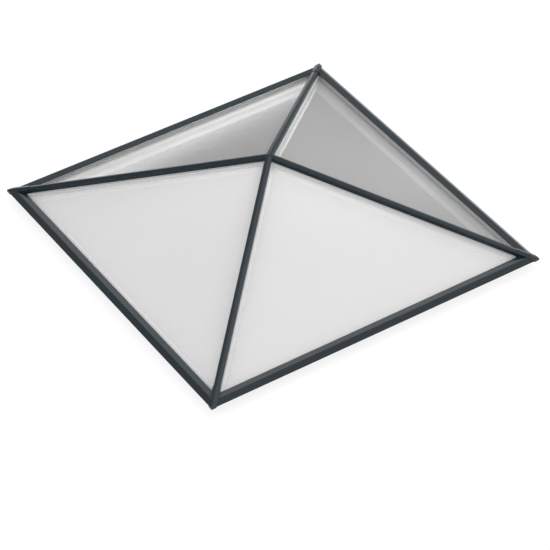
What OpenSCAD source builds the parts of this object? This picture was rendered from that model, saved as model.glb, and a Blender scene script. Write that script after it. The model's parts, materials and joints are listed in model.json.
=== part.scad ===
// Four-sided pyramid roof skylight: a ring beam, four hip rafters that meet at an apex hub,
// four triangular double-glazed units, and snap-on aluminium caps over every joint.
// Millimetres, +Z up, origin in the middle of the underside of the ring beam.

/* [Overall] */
// Width of the frame across its drip edges
frame_w = 2000; // [1400:10:2600]
// Pitch of the glass in degrees
pitch = 25; // [20:1:30]
// Height of a rafter's foot above the underside of the ring beam
foot_h = 5; // [4.5:0.5:20]

/* [Eaves fascia and cap] */
// How far the fascia leans in from the drip edge to its top edge
fascia_in = 26; // [22:1:30]
// Height of the fascia's top edge above the drip edge
fascia_rise = 22; // [18:1:26]
// Distance from the drip edge to the eaves cap's inner face
cap_in = 60; // [56:1:66]
// How much lower the eaves cap is at its inner edge than at its outer edge
cap_fall = 3; // [1:0.5:5]
// Height of the glass surface above the drip edge, at the eaves cap's inner face
glass_rise = 9; // [7:0.5:10]
// Wall of the fascia extrusion
fascia_wall = 3; // [2:0.5:3.5]
// Wall of the eaves cap
cap_wall = 2.5; // [2:0.25:3]
// Wall of the eaves cap's inner lip
lip_wall = 3; // [2:0.5:4]

/* [Ring beam] */
// Distance from the drip edge to the ring beam's outer face
beam_in = 62; // [62:1:68]
// Width of the ring beam's box
beam_w = 26; // [24:1:60]
// Wall of the ring beam
beam_wall = 3; // [2:0.5:4]
// Width of the fixing flange inside the ring beam
flange_w = 30; // [24:1:45]
// Thickness of the fixing flange and of the ring beam's floor
flange_t = 4; // [3:0.5:6]
// Width of the thermal break between fascia and ring beam
break_w = 10; // [8:0.5:12]
// Height of each strip of the thermal break
break_h = 5; // [3:0.5:6]
// Diameter of a fixing hole in the flange
fixing_d = 7; // [5:0.5:9]
// Distance of the inner fixing holes from the middle of a side
fixing_near = 250; // [100:10:250]
// Distance of the outer fixing holes from the ends of a side
fixing_end = 250; // [200:10:350]

/* [Glass] */
// Thickness of one glass pane
pane_t = 6; // [4:1:8]
// Gap between the two panes of a unit
cavity = 12; // [10:1:16]
// How far the glass runs under the eaves cap
edge_cover = 16; // [12:1:18]
// Clearance between the glass units and the screw port of a rafter
glass_clear = 0.5; // [0.3:0.1:1.5]
// Width of the spacer bar with its edge seal
spacer_w = 8; // [6:1:14]
// Distance of the edge seal from the edge of the glass
spacer_inset = 1; // [0.5:0.5:3]
// Thickness of a setting block under the glass
block_t = 5; // [4:0.5:7]
// Length of a setting block
block_l = 80; // [50:5:120]
// Thickness of the gasket under the glass
gasket_low = 4; // [3:0.5:5]
// Width of the gasket under the glass on the ring beam
gasket_w = 16; // [10:1:18]
// Width of each gasket strip under the glass on a rafter
hip_gasket_w = 9; // [6:0.5:10]
// Thickness of the gasket on top of the glass
gasket_top = 2.5; // [2:0.25:3]
// How far a top gasket shows past its cap
gasket_show = 1; // [0.5:0.25:3]

/* [Hips] */
// Width of a hip cap
hip_cap_w = 34; // [33:0.5:44]
// Height of a hip cap's ridge above the glass
hip_cap_h = 27; // [22:0.5:32]
// How far a hip cap falls from its ridge to its edges
hip_cap_fall = 7; // [4:0.5:9]
// Wall of a hip cap
hip_cap_wall = 2.5; // [2:0.25:3]
// Width of a hip rafter
rafter_w = 50; // [46:1:70]
// Depth of a hip rafter's underside below the glass surface
rafter_depth = 60; // [56:1:100]
// Wall of a hip rafter
rafter_wall = 3; // [2:0.5:4]
// Width of the screw port that stands up from a rafter between two glass edges
port_w = 6.6; // [6.4:0.1:6.8]
// Width of the slot in the screw port
port_slot = 4.2; // [4.1:0.1:4.4]
// Width of a pressure plate
plate_w = 27; // [24:0.5:27.5]
// Thickness of a pressure plate
plate_t = 3; // [2.5:0.5:4]
// Distance between the pressure plate screws along a hip
screw_pitch = 300; // [200:10:400]
// Distance of the end screws from the ends of a rafter
screw_end = 60; // [40:5:120]

/* [Corner caps] */
// Width of a corner cap
corner_w = 40; // [39:0.5:50]
// Height of a corner cap's ridge above the fascia's top edge
corner_lift = 5; // [4:0.5:12]
// Height of a corner cap's tip above the drip edge
corner_tip = 11; // [4:0.5:14]
// How far a corner cap stands out past the drip edge
corner_proud = 3; // [2:0.5:5]
// How far inside the eaves cap a corner cap reaches up its hip
corner_lap = 22; // [14:1:40]
// How far a corner cap's ridge stands above its hip cap's ridge
corner_skin = 2.5; // [2:0.25:4]

/* [Apex] */
// Width of the apex hub across its flat faces
hub_w = 72; // [66:1:90]
// How far the apex hub reaches below the rafters' ends
hub_drop = 3; // [2:0.5:6]
// Gap between the apex hub and the glass above its corners
hub_clear = 2; // [1:0.5:4]
// Wall of the apex hub
hub_wall = 6; // [5:0.5:8]
// Thickness of the apex hub's top
hub_roof = 4; // [3:0.5:5]
// Diameter of the bolts that hold the rafters to the hub
bolt_d = 6; // [5:0.5:7]
// How far a bolt reaches into its rafter
bolt_reach = 30; // [20:1:40]
// Length of the plugs in the ends of a rafter
plug_l = 50; // [45:1:80]

/* [Hidden] */
$fn = 32;
SIDES = ["front", "right", "back", "left"];
HIPS = ["front_right", "back_right", "back_left", "front_left"];
SIDE_PARTS = ["ring_beam", "thermal_break", "eaves_fascia", "eaves_cap", "eaves_gasket",
              "outer_pane", "inner_pane", "spacer"];
HIP_PARTS = ["hip_rafter", "hip_gasket", "pressure_plate", "hip_cap", "corner_cap"];
SHARED_PARTS = ["apex_hub", "hub_cover", "hub_bolts", "corner_cleats", "rafter_plugs", "foot_screws",
                "plate_screws", "setting_blocks"];

// Clearance between pieces that slide together
slip = 0.3;
// Overlap of a cutting shape past the face that it cuts
past = 1;
half = frame_w / 2;
diagonal = sqrt(2);
reach = frame_w;
glass_t = 2 * pane_t + cavity;
glass_edge = cap_in - edge_cover;
// Distance of the outer pane's edge from the middle plane of a hip; the inner pane's edge lies nearer
hip_gap = port_w / 2 + glass_clear + glass_t * sin(pitch) / diagonal;

// Slope of a hip, and fall of the glass in a section square to the hip
hip_pitch = atan(tan(pitch) / diagonal);
fall = sin(hip_pitch);
fall_cos = cos(atan(fall));
beam_out = beam_in + beam_w;
// Height of the drip edge above the underside of the ring beam
drip_h = foot_h + rafter_depth / cos(hip_pitch) - glass_rise - (beam_out - cap_in) * tan(pitch);

// Height of the glass surface at a distance in from the drip edge, and of the seat below its gasket
function glass_z(u) = drip_h + glass_rise + (u - cap_in) * tan(pitch);
function seat_z(u) = glass_z(u) - (glass_t + gasket_low) / cos(pitch);
apex_z = glass_z(half);

// Heights in a section square to a hip, at a distance from the hip's middle plane
function glass_v(w) = -abs(w) * fall;
function seat_v(w) = glass_v(w) - (glass_t + gasket_low) / fall_cos;
function plate_v(w) = glass_v(w) + gasket_top / fall_cos;
// Height of a hip's glass line at a plan distance from the middle
function hip_z(x) = apex_z - x * tan(hip_pitch);
// Plan distance along a hip of a line at a distance in from the drip edge
function hip_x(u) = (half - u) * diagonal;

leg_in = beam_in - break_w;
lip_in = cap_in - lip_wall;
top_gasket_z = gasket_top / cos(pitch);
fixing_in = beam_out + flange_w / 2;
fixing_far = half - fixing_end;
fascia_slope = fascia_in / fascia_rise;
cap_slope = cap_fall / (cap_in - fascia_in);
cap_under = fascia_rise - cap_wall;
hub_half = hub_w / 2;
hub_top = apex_z - (hub_half * diagonal * tan(pitch) + glass_t / cos(pitch)) - hub_clear;
hub_base = hip_z(hub_half) - rafter_depth / cos(hip_pitch) - hub_drop;
// Heights between which a bolt lies in its rafter: the chamber's floor at the hub, its top at the bolt's end
bolt_low = hip_z(hub_half) - (rafter_depth - rafter_wall) / cos(hip_pitch);
bolt_high = hip_z(hub_half + bolt_reach) - (glass_t + gasket_low + rafter_wall) / cos(pitch);
bolt_z = (bolt_low + bolt_high) / 2;
bolt_head_d = 1.6 * bolt_d;
bolt_head_h = 0.7 * bolt_d;
foot_screw_d = 5;
foot_head_d = 8;
foot_head_h = 3;
// Distance of a foot screw from the end of its ring beam's inner face
foot_side = 0.3 * rafter_w;
// How far a foot screw reaches into its rafter, short of the other screw at its corner
foot_reach = foot_side - foot_screw_d;
// Heights between which a foot screw lies in its rafter: the chamber's floor at the screw's end, its top
foot_low = foot_h + rafter_wall / cos(hip_pitch)
           + (foot_side + foot_reach + past) / diagonal * tan(hip_pitch);
foot_high = seat_z(beam_out) - rafter_wall / cos(pitch);
foot_z = (foot_low + foot_high) / 2;
plate_screw_d = 4;
plate_head_d = 9;
plate_head_h = 3;
plate_screw_l = 24;
plate_crown = 5;
plate_top = plate_v(0) + plate_t + 2 * slip;

dark = [0.20, 0.22, 0.24];
white = [0.93, 0.93, 0.92];
black = [0.08, 0.08, 0.08];
pale = [0.75, 0.75, 0.74];
bare = [0.72, 0.73, 0.75];
clear = [0.80, 0.85, 0.87, 0.45];

// Outline moved in by a distance along every edge; points run anticlockwise
function unit(a) = a / norm(a);
function left(a, b) = let (d = unit(b - a)) [-d.y, d.x];
function inset(p, t) = let (n = len(p)) [
    for (i = [0 : n - 1])
        let (a = left(p[(i + n - 1) % n], p[i]), b = left(p[i], p[(i + 1) % n]))
        p[i] + t * (a + b) / (1 + a * b)
];
// Point at a distance up the glass from its lower edge, and above its surface, in the eaves section
function on_glass(x, y) = [glass_edge + x * cos(pitch) - y * sin(pitch),
                           glass_z(glass_edge) + x * sin(pitch) + y * cos(pitch)];
// Distance up the glass at which a height off its surface lies at a distance in from the drip edge
function up_glass(u, y) = (u - glass_edge + y * sin(pitch)) / cos(pitch);

// Rectangle in the eaves section that lies along the glass
module on_glass_strip(x0, x1, y0, y1) {
    polygon([on_glass(x0, y0), on_glass(x1, y0), on_glass(x1, y1), on_glass(x0, y1)]);
}

// Turns a piece made for the front side to side i, or for the front right hip to hip i
module at_side(i) { rotate(90 * i) children(); }
module at_hip(i) { rotate(90 * i - 45) children(); }

// Bar along the front side with mitred ends; its section has x in from the drip edge and y up
module mitred_bar() {
    intersection() {
        translate([-half - past, -half, 0]) rotate([90, 0, 90])
            linear_extrude(frame_w + 2 * past) children();
        translate([0, 0, -reach]) linear_extrude(2 * reach)
            polygon([[0, 0], [-reach, -reach], [reach, -reach]]);
    }
}

// Bar down a hip that runs along +X; its section has x across the hip and y square to the glass line
module hip_bar() {
    translate([0, 0, apex_z]) rotate([0, hip_pitch, 0]) translate([-half / 4, 0, 0])
        rotate([90, 0, 90]) linear_extrude(reach) children();
}
// Upright block that holds the plan of the frame at a distance in from the drip edge, turned to a hip
module plan_at_hip(u) {
    rotate(45) translate([u - half, u - half, -reach]) cube([2 * (half - u), 2 * (half - u), 2 * reach]);
}
// Upright wedge between the two mitre planes of a hip, from a plan distance outwards
module hip_wedge(from) {
    translate([0, 0, -reach]) linear_extrude(2 * reach)
        polygon([[from, from], [from, -from], [reach, -reach], [reach, reach]]);
}
// Bar down a hip from a plan distance to a distance in from the drip edge, mitred at the apex
module hip_member(from, to_u) {
    intersection() {
        hip_bar() children();
        plan_at_hip(to_u);
        hip_wedge(from);
    }
}

// Front side pieces

function beam_outline() = [[beam_in, 0], [beam_out, 0],
                           [beam_out, seat_z(beam_out)], [beam_in, seat_z(beam_in)]];
function beam_chamber() = let (b = inset(beam_outline(), beam_wall))
    [[b[0].x, flange_t], [b[1].x, flange_t], b[2], b[3]];

module ring_beam() {
    color(white) difference() {
        mitred_bar() difference() {
            union() {
                polygon(beam_outline());
                translate([beam_in, 0]) square([beam_w + flange_w, flange_t]);
            }
            polygon(beam_chamber());
        }
        for (x = [-fixing_far, -fixing_near, fixing_near, fixing_far])
            translate([x, fixing_in - half, -past]) cylinder(d = fixing_d, h = flange_t + 2 * past);
        for (s = [-1, 1]) foot_hole(s, foot_screw_d + 2 * slip, beam_out - beam_w / 2, beam_out + past);
    }
}

// Bore across the front beam for the screw that holds the foot of the hip on the s side
module foot_hole(s, d, from_u, to_u) {
    translate([s * (half - beam_out - foot_side), from_u - half, foot_z])
        rotate([-90, 0, 0]) cylinder(d = d, h = to_u - from_u);
}

module thermal_break() {
    low = flange_t;
    high = seat_z(beam_in) - break_h - 2 * beam_wall;
    color(black) mitred_bar() for (z = [low, high]) translate([leg_in, z]) square([break_w, break_h]);
}

// Line of the fascia's face and of the eaves cap's underside
function fascia_point(z) = [z * fascia_slope, drip_h + z];
function under_z(u) = drip_h + cap_under - (u - cap_under * fascia_slope) * cap_slope;
// Glass stop of the fascia: how far it stands above the glass surface, to meet the cap
stop_h = (under_z(on_glass(-block_t, 0).x) - on_glass(-block_t, 0).y)
         / (cos(pitch) - sin(pitch) * cap_slope);

function fascia_outline() = [
    fascia_point(0),
    on_glass(-block_t, -glass_t - gasket_low),
    on_glass(-block_t, stop_h),
    fascia_point(cap_under)
];

module eaves_fascia() {
    foot = fascia_outline()[1];
    color(dark) mitred_bar() {
        difference() {
            polygon(fascia_outline());
            polygon(inset(fascia_outline(), fascia_wall));
        }
        translate([leg_in - fascia_wall, 0]) square([fascia_wall, foot.y + fascia_wall]);
    }
}

module eaves_cap() {
    clip_t = 2;
    clip_foot = 8;
    clip_x = -block_t + slip;
    color(dark) mitred_bar() {
        polygon([
            fascia_point(cap_under),
            [lip_in, under_z(lip_in)],
            [lip_in, glass_z(lip_in) + top_gasket_z],
            [cap_in, glass_z(cap_in) + top_gasket_z],
            [cap_in, drip_h + fascia_rise - cap_fall],
            fascia_point(fascia_rise)
        ]);
        on_glass_strip(clip_x, clip_x + clip_t, clip_foot, stop_h + cap_wall / 2);
    }
}

module eaves_gasket() {
    middle = up_glass(beam_in + beam_w / 2, -glass_t - gasket_low);
    color(pale) mitred_bar() {
        on_glass_strip(up_glass(lip_in, gasket_top), up_glass(cap_in, 0) + gasket_show, 0, gasket_top);
        on_glass_strip(middle - gasket_w / 2, middle + gasket_w / 2, -glass_t - gasket_low, -glass_t);
    }
}

// Glass units

// Triangle of a pane in its own plane, with its edges moved in; the apex lies at the origin
function pane_outline(d) =
    let (c = hip_gap * diagonal + d * sqrt(1 + pow(cos(pitch), 2)),
         low = (half - glass_edge) / cos(pitch) - d,
         wide = low * cos(pitch) - c)
    [[0, -c / cos(pitch)], [-wide, -low], [wide, -low]];

// Plate in the front pane's plane, from one depth below its surface to another
module in_glass(depth, thick) {
    translate([0, 0, apex_z]) rotate([pitch, 0, 0]) translate([0, 0, -depth - thick])
        linear_extrude(thick) children();
}

module outer_pane() { color(clear) in_glass(0, pane_t) polygon(pane_outline(0)); }
module inner_pane() { color(clear) in_glass(pane_t + cavity, pane_t) polygon(pane_outline(0)); }
module spacer() {
    color(bare) in_glass(pane_t, cavity) difference() {
        polygon(pane_outline(spacer_inset));
        polygon(pane_outline(spacer_inset + spacer_w));
    }
}
module setting_block(x) {
    low = (half - glass_edge) / cos(pitch);
    color(black) in_glass(0, glass_t)
        translate([x - block_l / 2, -low - block_t]) square([block_l, block_t]);
}
module setting_blocks() {
    for (i = [0 : 3], s = [-1, 1]) at_side(i) setting_block(s * half / 2);
}

// Hip pieces, made along +X

function rafter_chamber() = let (w = rafter_w / 2 - rafter_wall, t = rafter_wall / fall_cos)
    [[-w, rafter_wall - rafter_depth], [w, rafter_wall - rafter_depth],
     [w, seat_v(w) - t], [0, seat_v(0) - t], [-w, seat_v(w) - t]];

module hip_rafter() {
    w = rafter_w / 2;
    port_top = -2;
    port_floor = seat_v(0) + rafter_wall;
    color(white) hip_member(hub_half, beam_out) difference() {
        union() {
            polygon([[-w, -rafter_depth], [w, -rafter_depth],
                     [w, seat_v(w)], [0, seat_v(0)], [-w, seat_v(w)]]);
            translate([-port_w / 2, seat_v(0) - rafter_wall / 2])
                square([port_w, port_top - seat_v(0) + rafter_wall / 2]);
        }
        polygon(rafter_chamber());
        translate([-port_slot / 2, port_floor]) square([port_slot, port_top - port_floor + past]);
    }
}

module hip_gasket() {
    low_out = hip_cap_w / 2 - gasket_show;
    low_in = low_out - hip_gasket_w;
    top_in = hip_gap + slip;
    top_out = hip_cap_w / 2 + gasket_show;
    gap_v = glass_t / fall_cos;
    color(pale) for (s = [-1, 1]) {
        hip_member(hub_half, beam_out) polygon([
            [s * low_in, seat_v(low_in)], [s * low_out, seat_v(low_out)],
            [s * low_out, glass_v(low_out) - gap_v], [s * low_in, glass_v(low_in) - gap_v]
        ]);
        hip_member(0, cap_in + gasket_show + slip) polygon([
            [s * top_in, glass_v(top_in)], [s * top_out, glass_v(top_out)],
            [s * top_out, plate_v(top_out)], [s * top_in, plate_v(top_in)]
        ]);
    }
}

// Distance of a pressure plate's end in from the drip edge
plate_end = cap_in + gasket_show + 2;
// Plan distances of the pressure plate screws along a hip
screw_first = hub_half + screw_end;
screw_last = hip_x(beam_out) - screw_end;
screw_xs = [for (x = [screw_first : screw_pitch : screw_last]) x];

// Axis of a pressure plate screw, with its height measured square to the hip
module at_plate_screws() {
    translate([0, 0, apex_z]) rotate([0, hip_pitch, 0])
        for (x = screw_xs) translate([x / cos(hip_pitch), 0, 0]) children();
}

module pressure_plate() {
    w = plate_w / 2;
    edge_t = plate_t / fall_cos;
    color(bare) difference() {
        hip_member(hub_half / 2, plate_end) polygon([
            [-w, plate_v(w)], [0, plate_v(0)], [w, plate_v(w)],
            [w, plate_v(w) + edge_t], [plate_crown, plate_top],
            [-plate_crown, plate_top], [-w, plate_v(w) + edge_t]
        ]);
        at_plate_screws() cylinder(d = plate_screw_d + 2 * slip, h = plate_top + past);
    }
}

module plate_screws() {
    for (i = [0 : 3]) at_hip(i) color(bare) at_plate_screws() {
        translate([0, 0, plate_top]) cylinder(d = plate_head_d, h = plate_head_h);
        translate([0, 0, plate_top - plate_screw_l])
            cylinder(d = plate_screw_d, h = plate_screw_l + plate_head_h / 2);
    }
}

// Outer section of a hip cap, closed underneath at the top gaskets
function hip_cap_outline(grow) = let (w = hip_cap_w / 2 + grow, edge = hip_cap_h - hip_cap_fall + grow)
    [[-w, plate_v(w)], [0, plate_v(0)], [w, plate_v(w)], [w, edge], [0, hip_cap_h + grow], [-w, edge]];

module hip_cap() {
    w = hip_cap_w / 2 - hip_cap_wall;
    edge = hip_cap_h - hip_cap_fall - hip_cap_wall * 0.75;
    rib_w = 1.2;
    rib_v = plate_v(plate_w / 2) + plate_t / fall_cos + 2 * slip;
    color(dark) hip_member(0, cap_in + gasket_show + slip) {
        difference() {
            polygon(hip_cap_outline(0));
            polygon([[-w, -hip_cap_h], [w, -hip_cap_h],
                     [w, edge], [0, hip_cap_h - hip_cap_wall], [-w, edge]]);
        }
        for (s = [-1, 1]) translate([s * (w - rib_w / 2) - rib_w / 2, rib_v]) square([rib_w, rib_w]);
    }
}

// Peaked bar with deep sides along a hip, its ridge through a point and falling at an angle
module peaked_bar(w, x, z, angle) {
    drop = 2 * w * hip_cap_fall / hip_cap_w;
    translate([x, 0, z]) rotate([0, angle, 0]) translate([-reach / 2, 0, 0]) rotate([90, 0, 90])
        linear_extrude(reach) polygon([[-w, -reach], [w, -reach], [w, -drop], [0, 0], [-w, -drop]]);
}

// Space under the eaves cap and the fascia's face, cleared from the corner caps
module eaves_envelope() {
    mitred_bar() polygon([
        [0, 0], [cap_in, 0], [cap_in, drip_h + fascia_rise - cap_fall],
        fascia_point(fascia_rise), fascia_point(0)
    ]);
}

// Ridge of a corner cap: from its start over the hip cap to a knee over the fascia, and on to its tip
knee_x = hip_x(fascia_in);
knee_z = max(drip_h + fascia_rise + corner_lift,
             hip_z(knee_x) + (hip_cap_h + corner_skin) / cos(hip_pitch));
start_x = hip_x(cap_in + corner_lap);
start_z = hip_z(start_x) + (hip_cap_h + corner_skin) / cos(hip_pitch);
tip_x = hip_x(-corner_proud);
tip_z = drip_h + corner_tip;

// Body of a corner cap with a half width, its ridge sunk, its plan moved in, and its back end moved out
module corner_form(w, sink, plan_u, low, back) {
    intersection() {
        peaked_bar(w, knee_x, knee_z - sink, atan((start_z - knee_z) / (knee_x - start_x)));
        peaked_bar(w, knee_x, knee_z - sink, atan((knee_z - tip_z) / (tip_x - knee_x)));
        plan_at_hip(plan_u);
        translate([start_x - back, -corner_w, low]) cube([reach, 2 * corner_w, reach]);
    }
}

module corner_cap() {
    skin_z = (corner_skin - slip) / cos(hip_pitch);
    color(dark) difference() {
        corner_form(corner_w / 2, 0, -corner_proud, drip_h - corner_proud, 0);
        corner_form(hip_cap_w / 2 + slip, skin_z, 0, 0, past);
        for (i = [0, 1]) rotate(45 + 90 * i) eaves_envelope();
        hip_bar() polygon([
            [-corner_w, -reach], [corner_w, -reach], [corner_w, plate_v(corner_w) + slip],
            [0, plate_v(0) + slip], [-corner_w, plate_v(corner_w) + slip]
        ]);
    }
}

// Apex and joints

// Square block in the plan of the hub, between two heights
module hub_block(w, low, high) {
    rotate(45) translate([-w / 2, -w / 2, low]) cube([w, w, high - low]);
}

// Round bar on the axis of a hub bolt, between two plan distances
module hub_bore(d, from, to) {
    translate([from, 0, bolt_z]) rotate([0, 90, 0]) cylinder(d = d, h = to - from);
}

module apex_hub() {
    color(bare) difference() {
        hub_block(hub_w, hub_base, hub_top);
        hub_block(hub_w - 2 * hub_wall, hub_base - past, hub_top - hub_roof);
        for (i = [0 : 3]) at_hip(i) hub_bore(bolt_d + 2 * slip, hub_half - 2 * hub_wall, hub_half + past);
    }
}

module hub_cover() {
    cover_lap = 4;
    cover_w = hub_w + 2 * cover_lap;
    cover_t = 4;
    spigot_w = hub_w - 2 * hub_wall - 2 * slip;
    spigot_h = 4;
    color(white) {
        hub_block(cover_w, hub_base - cover_t, hub_base);
        difference() {
            hub_block(spigot_w, hub_base - cover_t / 2, hub_base + spigot_h);
            hub_block(spigot_w - cover_t * 2, hub_base - cover_t, hub_base + spigot_h + past);
        }
    }
}

module hub_bolts() {
    for (i = [0 : 3]) at_hip(i) color(bare) {
        hub_bore(bolt_d, hub_half - hub_wall, hub_half + bolt_reach);
        hub_bore(bolt_head_d, hub_half - hub_wall - bolt_head_h, hub_half - hub_wall);
    }
}

module rafter_plug(upper) {
    from = upper ? hub_half : hip_x(beam_out) - plug_l;
    color(bare) difference() {
        intersection() {
            hip_bar() polygon(inset(rafter_chamber(), slip));
            plan_at_hip(beam_out);
            translate([from, -half, -reach]) cube([upper ? plug_l : reach, frame_w, 2 * reach]);
        }
        hub_bore(bolt_d + 2 * slip, hub_half - past, hub_half + bolt_reach + past);
        if (!upper) for (i = [0, 1]) rotate(45 + 90 * i)
            foot_hole(1 - 2 * i, foot_screw_d + 2 * slip, beam_out - past, beam_out + foot_reach + past);
    }
}
module rafter_plugs() {
    for (i = [0 : 3], upper = [true, false]) at_hip(i) rafter_plug(upper);
}

module foot_screws() {
    inside = beam_out - beam_wall;
    for (i = [0 : 3], s = [-1, 1]) at_side(i) color(bare) {
        foot_hole(s, foot_screw_d, inside, beam_out + foot_reach);
        foot_hole(s, foot_head_d, inside - foot_head_h, inside);
    }
}

// L-shaped block that joins two ring beams inside their chambers
module corner_cleat() {
    arm = 110;
    color(bare) difference() {
        intersection() {
            union() for (i = [0, 1]) rotate(45 + 90 * i) mitred_bar() polygon(inset(beam_chamber(), slip));
            translate([hip_x(beam_in) - arm, -half, 0]) cube([reach, frame_w, reach]);
        }
        for (i = [0, 1]) rotate(45 + 90 * i)
            foot_hole(i == 0 ? 1 : -1, foot_head_d + 2, beam_in, beam_out + past);
    }
}
module corner_cleats() {
    for (i = [0 : 3]) at_hip(i) corner_cleat();
}

module side_part(p) {
    if (p == "ring_beam") ring_beam();
    if (p == "thermal_break") thermal_break();
    if (p == "eaves_fascia") eaves_fascia();
    if (p == "eaves_cap") eaves_cap();
    if (p == "eaves_gasket") eaves_gasket();
    if (p == "outer_pane") outer_pane();
    if (p == "inner_pane") inner_pane();
    if (p == "spacer") spacer();
}
module hip_part(p) {
    if (p == "hip_rafter") hip_rafter();
    if (p == "hip_gasket") hip_gasket();
    if (p == "pressure_plate") pressure_plate();
    if (p == "hip_cap") hip_cap();
    if (p == "corner_cap") corner_cap();
}

for (p = SIDE_PARTS, i = [0 : 3])
    at_side(i) side_part(p);
for (p = HIP_PARTS, i = [0 : 3])
    at_hip(i) hip_part(p);
apex_hub();
hub_cover();
hub_bolts();
corner_cleats();
rafter_plugs();
foot_screws();
plate_screws();
setting_blocks();
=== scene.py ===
"""Looks of the pyramid roof skylight: materials, soft edges, studio light and the photograph's camera."""
import json
import math

import bpy
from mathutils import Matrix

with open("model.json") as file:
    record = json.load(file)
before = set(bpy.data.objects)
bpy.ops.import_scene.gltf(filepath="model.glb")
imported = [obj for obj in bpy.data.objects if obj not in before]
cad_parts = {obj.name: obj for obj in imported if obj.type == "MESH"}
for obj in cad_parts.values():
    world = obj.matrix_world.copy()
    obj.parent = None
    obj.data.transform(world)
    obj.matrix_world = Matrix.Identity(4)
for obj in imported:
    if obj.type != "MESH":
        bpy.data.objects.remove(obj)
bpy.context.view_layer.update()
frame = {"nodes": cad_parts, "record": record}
nodes = frame["nodes"]
slots = {s["node"]: s["material_slot"] for s in frame["record"]["subparts"]}
scene = bpy.context.scene

# Camera: place in metres, turn and tilt below the horizon in degrees, lens and sensor in millimetres
CAMERA_PLACE = (-6.2016, -9.3492, 9.5132)
CAMERA_TURN = -33.71
CAMERA_TILT = 41.18
CAMERA_LENS = 183.75
CAMERA_SENSOR = 36

# Lights: place, target and size in metres, power in watts
KEY_LIGHT = ((7.7, 2.2, 6.2), (0, 0, 0.2), 3.0, 230)
ROOM_LAMP = ((0.75, -0.75, -0.9), (0.5, 0.5, 0.3), 0.5, 8)
# Angle of the room lamp's beam, in degrees
ROOM_LAMP_BEAM = 70

# World: strength of all its light, and brightness of the studio above the floor and of the room below it
WORLD_STRENGTH = 2.5
SKY_LEVEL = 0.43
ROOM_LEVEL = 0.1
# Half the height of the blend between studio and room, as the Z of its direction
HORIZON_BLEND = 0.01
# Sky that reflections see: height, as the Z of its direction, and brightness
SKY_STEPS = (
    (0.0, 0.1), (0.3, 0.24), (0.5, 1.0), (0.56, 0.85), (0.66, 0.2), (0.72, 0.13),
    (0.76, 0.26), (0.83, 0.85), (0.88, 0.5), (0.92, 0.24), (1.0, 0.24),
)
# That sky is darker on the left: the X of its direction, and the share of its brightness
SIDE_DARK = (-0.5, 0.25)
SIDE_FULL = (0.3, 1.0)

# Floor: a disc around the skylight and a wide ring beyond it that reflections don't see, in metres
FLOOR_RADIUS = 6.7
FLOOR_REACH = 400.0
FLOOR_MIDDLE = (-2.4, -3.6)
FLOOR_SIDES = 96
# Opening in the disc under the skylight: half its width in metres, and its corners in that measure
WELL_HALF = 0.89
WELL_CORNERS = ((1, 1), (-1, 1), (-1, -1), (1, -1))
# Surface of the floor, and its own glow
FLOOR_COLOUR = (0.18, 0.18, 0.18, 1)
FLOOR_ROUGH = 0.9
GLOW_COLOUR = (1, 1, 1, 1)
GLOW_STRENGTH = 0.82

# Noise: the part of its range that is used, from lowest to highest value of what it drives
NOISE_LOW = 0.3
NOISE_HIGH = 0.7
# Soft noise for mottling and smears, and fine noise for grain
SOFT_DETAIL = 3.0
FINE_DETAIL = 2.0
MOTTLE_SCALE = 3.0
# Depth of the grain's relief, in metres
GRAIN_DEPTH = 0.0003

# Glass: colour of haze and reflection, how much one face covers what is behind it, and refractive index
GLASS_COLOUR = (0.825, 0.825, 0.825, 1)
GLASS_COVER = 0.28
GLASS_IOR = 1.5
# Scale of its smears, and its lowest and highest roughness
SMEAR_SCALE = 1.4
GLASS_ROUGH = (0.10, 0.14)
# Layer Weight's blend, then its facing value and the mirror share, seen from above and at a low angle
GLASS_BLEND = 0.5
GLASS_NEAR = (0.25, 0.0)
GLASS_FAR = (0.65, 0.85)

# Rounded edges of the coated metal pieces: width in metres, steps, and least angle in degrees
EDGE_ROUND = 0.0006
EDGE_STEPS = 2
EDGE_ANGLE = 12

# Colour sockets of a Mix node
MIX_A = 6
MIX_B = 7
MIX_RESULT = 2


def new_material(name):
    """A new node material, with its tree and its shader."""
    material = bpy.data.materials.new(name)
    material.use_nodes = True
    tree = material.node_tree
    return material, tree, tree.nodes["Principled BSDF"]


def noise(tree, scale, detail):
    """Noise over the object's own place, in metres."""
    place = tree.nodes.new("ShaderNodeTexCoord")
    texture = tree.nodes.new("ShaderNodeTexNoise")
    texture.inputs["Scale"].default_value = scale
    texture.inputs["Detail"].default_value = detail
    tree.links.new(place.outputs["Object"], texture.inputs["Vector"])
    return texture.outputs["Fac"]


def map_range(tree, source, start, end):
    """The source mapped so that start[0] gives start[1] and end[0] gives end[1]."""
    node = tree.nodes.new("ShaderNodeMapRange")
    node.inputs["From Min"].default_value = start[0]
    node.inputs["To Min"].default_value = start[1]
    node.inputs["From Max"].default_value = end[0]
    node.inputs["To Max"].default_value = end[1]
    tree.links.new(source, node.inputs["Value"])
    return node.outputs["Result"]


def tint(tree, source, dark, light):
    """The noise's range mapped between two colours."""
    node = tree.nodes.new("ShaderNodeValToRGB")
    first, last = node.color_ramp.elements
    first.position = NOISE_LOW
    first.color = (*dark, 1)
    last.position = NOISE_HIGH
    last.color = (*light, 1)
    tree.links.new(source, node.inputs["Fac"])
    return node.outputs["Color"]


def vary_rough(tree, source, shader, rough):
    """Roughness that follows the noise between two values."""
    value = map_range(tree, source, (NOISE_LOW, rough[0]), (NOISE_HIGH, rough[1]))
    tree.links.new(value, shader.inputs["Roughness"])


def bump(tree, source, shader, strength):
    """A fine relief on the shader from the noise."""
    node = tree.nodes.new("ShaderNodeBump")
    node.inputs["Strength"].default_value = strength
    node.inputs["Distance"].default_value = GRAIN_DEPTH
    tree.links.new(source, node.inputs["Height"])
    tree.links.new(node.outputs["Normal"], shader.inputs["Normal"])


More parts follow.
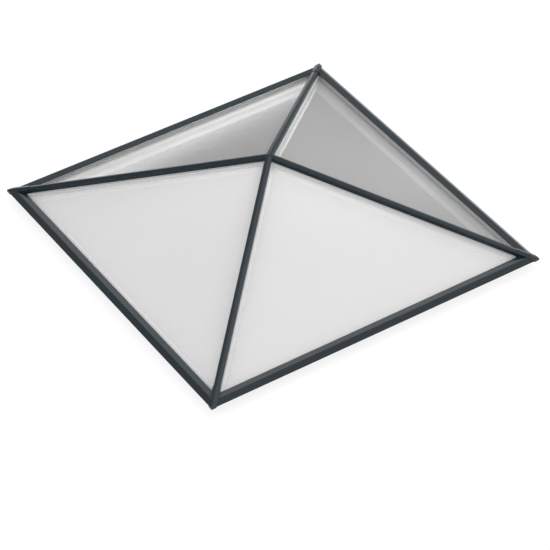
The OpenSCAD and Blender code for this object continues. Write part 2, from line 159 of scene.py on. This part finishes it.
def coated(name, dark, light, rough, grain, relief, metallic=0.0, specular=0.5):
    """Surface with faint mottling and a fine grain: powder coat, plastic, rubber or bare metal."""
    material, tree, shader = new_material(name)
    shader.inputs["Metallic"].default_value = metallic
    shader.inputs["Specular IOR Level"].default_value = specular
    mottle = noise(tree, MOTTLE_SCALE, SOFT_DETAIL)
    tree.links.new(tint(tree, mottle, dark, light), shader.inputs["Base Color"])
    speck = noise(tree, grain, FINE_DETAIL)
    vary_rough(tree, speck, shader, rough)
    bump(tree, speck, shader, relief)
    return material


def glass(name):
    """Pane seen through, with a pale haze that turns to a grey reflection at a low angle."""
    material, tree, shader = new_material(name)
    shader.inputs["Base Color"].default_value = GLASS_COLOUR
    shader.inputs["IOR"].default_value = GLASS_IOR
    shader.inputs["Alpha"].default_value = GLASS_COVER
    vary_rough(tree, noise(tree, SMEAR_SCALE, SOFT_DETAIL), shader, GLASS_ROUGH)
    weight = tree.nodes.new("ShaderNodeLayerWeight")
    weight.inputs["Blend"].default_value = GLASS_BLEND
    mirror = map_range(tree, weight.outputs["Facing"], GLASS_NEAR, GLASS_FAR)
    tree.links.new(mirror, shader.inputs["Metallic"])
    return material


def area_light(name, place, target, size, power):
    """Square soft light at a place, turned to a target."""
    data = bpy.data.lights.new(name, "AREA")
    data.shape = "SQUARE"
    data.size = size
    data.energy = power
    light = bpy.data.objects.new(name, data)
    scene.collection.objects.link(light)
    light.location = place
    aim = bpy.data.objects.new(name + "_aim", None)
    scene.collection.objects.link(aim)
    aim.location = target
    track = light.constraints.new("TRACK_TO")
    track.target = aim
    track.track_axis = "TRACK_NEGATIVE_Z"
    track.up_axis = "UP_Y"
    return light


def studio_world():
    """Pale light from above, a darker room below, and a sky of its own for reflections."""
    world = bpy.data.worlds.new("studio")
    scene.world = world
    world.use_nodes = True
    tree = world.node_tree
    sky = tree.nodes["Background"]
    sky.inputs["Strength"].default_value = WORLD_STRENGTH
    place = tree.nodes.new("ShaderNodeTexCoord")
    split = tree.nodes.new("ShaderNodeSeparateXYZ")
    tree.links.new(place.outputs["Generated"], split.inputs["Vector"])
    height = split.outputs["Z"]
    heights = tree.nodes.new("ShaderNodeValToRGB")
    steps = heights.color_ramp.elements
    for number, (position, level) in enumerate(SKY_STEPS):
        step = steps[number] if number < len(steps) else steps.new(position)
        step.position = position
        step.color = (level, level, level, 1)
    tree.links.new(height, heights.inputs["Fac"])
    dim = tree.nodes.new("ShaderNodeVectorMath")
    dim.operation = "SCALE"
    tree.links.new(heights.outputs["Color"], dim.inputs[0])
    tree.links.new(map_range(tree, split.outputs["X"], SIDE_DARK, SIDE_FULL), dim.inputs["Scale"])
    plain = map_range(tree, height, (-HORIZON_BLEND, ROOM_LEVEL), (HORIZON_BLEND, SKY_LEVEL))
    path = tree.nodes.new("ShaderNodeLightPath")
    choose = tree.nodes.new("ShaderNodeMix")
    choose.data_type = "RGBA"
    tree.links.new(path.outputs["Is Glossy Ray"], choose.inputs["Factor"])
    tree.links.new(plain, choose.inputs[MIX_A])
    tree.links.new(dim.outputs["Vector"], choose.inputs[MIX_B])
    tree.links.new(choose.outputs[MIX_RESULT], sky.inputs["Color"])


def floor_material():
    """Plain floor with a glow that keeps shadows light."""
    material, _, shader = new_material("pale_floor")
    shader.inputs["Base Color"].default_value = FLOOR_COLOUR
    shader.inputs["Roughness"].default_value = FLOOR_ROUGH
    shader.inputs["Emission Color"].default_value = GLOW_COLOUR
    shader.inputs["Emission Strength"].default_value = GLOW_STRENGTH
    return material


def circle(radius):
    """Points of a circle about the floor's middle."""
    across, along = FLOOR_MIDDLE
    turns = [2 * math.pi * i / FLOOR_SIDES for i in range(FLOOR_SIDES)]
    return [(across + radius * math.cos(t), along + radius * math.sin(t), 0) for t in turns]


def floor_piece(name, points, faces, material):
    """A flat piece of the floor, kept apart from the object."""
    mesh = bpy.data.meshes.new(name)
    mesh.from_pydata(points, [], faces)
    mesh.materials.append(material)
    piece = bpy.data.objects.new(name, mesh)
    scene.collection.objects.link(piece)
    return piece


def make_floor():
    """Disc with a square opening, one patch for each side of it, and the ring beyond."""
    material = floor_material()
    well = [(x * WELL_HALF, y * WELL_HALF, 0) for x, y in WELL_CORNERS]
    corners = len(well)
    quarter = FLOOR_SIDES // corners
    patches = []
    for corner in range(corners):
        start = quarter // 2 + corner * quarter
        arc = [(start + step) % FLOOR_SIDES for step in range(quarter + 1)]
        patches.append([FLOOR_SIDES + corner, *arc, FLOOR_SIDES + (corner + 1) % corners])
    floor_piece("floor", circle(FLOOR_RADIUS) + well, patches, material)
    following = [(i + 1) % FLOOR_SIDES for i in range(FLOOR_SIDES)]
    ring = [(i, i + FLOOR_SIDES, j + FLOOR_SIDES, j) for i, j in enumerate(following)]
    far_floor = floor_piece("far_floor", circle(FLOOR_RADIUS) + circle(FLOOR_REACH), ring, material)
    far_floor.visible_glossy = False


LOOKS = {
    "dark_frame": coated("dark_powder_coat", (0.010, 0.018, 0.023), (0.013, 0.022, 0.028), (0.22, 0.28),
                         grain=900, relief=0.10, specular=0.4),
    "white_frame": coated("white_powder_coat", (0.80, 0.80, 0.79), (0.84, 0.84, 0.83), (0.35, 0.45),
                          grain=900, relief=0.12),
    "bare_aluminium": coated("bare_aluminium", (0.58, 0.59, 0.61), (0.64, 0.65, 0.67), (0.30, 0.42),
                             grain=500, relief=0.10, metallic=1.0),
    "steel_fixings": coated("steel_fixings", (0.50, 0.50, 0.51), (0.58, 0.58, 0.59), (0.25, 0.35),
                            grain=700, relief=0.08, metallic=1.0),
    "rubber_seal": coated("rubber_seal", (0.52, 0.52, 0.51), (0.58, 0.58, 0.57), (0.65, 0.80),
                          grain=600, relief=0.20),
    "black_plastic": coated("black_plastic", (0.016, 0.016, 0.017), (0.022, 0.022, 0.023), (0.50, 0.60),
                            grain=700, relief=0.15),
    "spacer_bar": coated("spacer_bar", (0.70, 0.70, 0.69), (0.74, 0.74, 0.73), (0.45, 0.60),
                         grain=500, relief=0.15),
    "pane_glass": glass("pane_glass"),
}

for name, piece in nodes.items():
    slot = slots[name]
    piece.data.materials.clear()
    piece.data.materials.append(LOOKS[slot])
    if slot == "pane_glass":
        piece.visible_shadow = False
    if slot in ("dark_frame", "white_frame"):
        edge = piece.modifiers.new("edge_round", "BEVEL")
        edge.width = EDGE_ROUND
        edge.segments = EDGE_STEPS
        edge.limit_method = "ANGLE"
        edge.angle_limit = math.radians(EDGE_ANGLE)
        edge.harden_normals = True

area_light("key", *KEY_LIGHT)
# Lamp in the room below, which shows the white inside of the frame through the far panes
room_lamp = area_light("room_lamp", *ROOM_LAMP)
room_lamp.data.spread = math.radians(ROOM_LAMP_BEAM)
room_lamp.visible_camera = False
room_lamp.visible_glossy = False
studio_world()
make_floor()

camera_data = bpy.data.cameras.new("camera")
camera_data.lens = CAMERA_LENS
camera_data.sensor_width = CAMERA_SENSOR
camera = bpy.data.objects.new("camera", camera_data)
scene.collection.objects.link(camera)
camera.location = CAMERA_PLACE
camera.rotation_euler = (math.radians(90 - CAMERA_TILT), 0, math.radians(CAMERA_TURN))
scene.camera = camera
scene.view_settings.view_transform = "Standard"
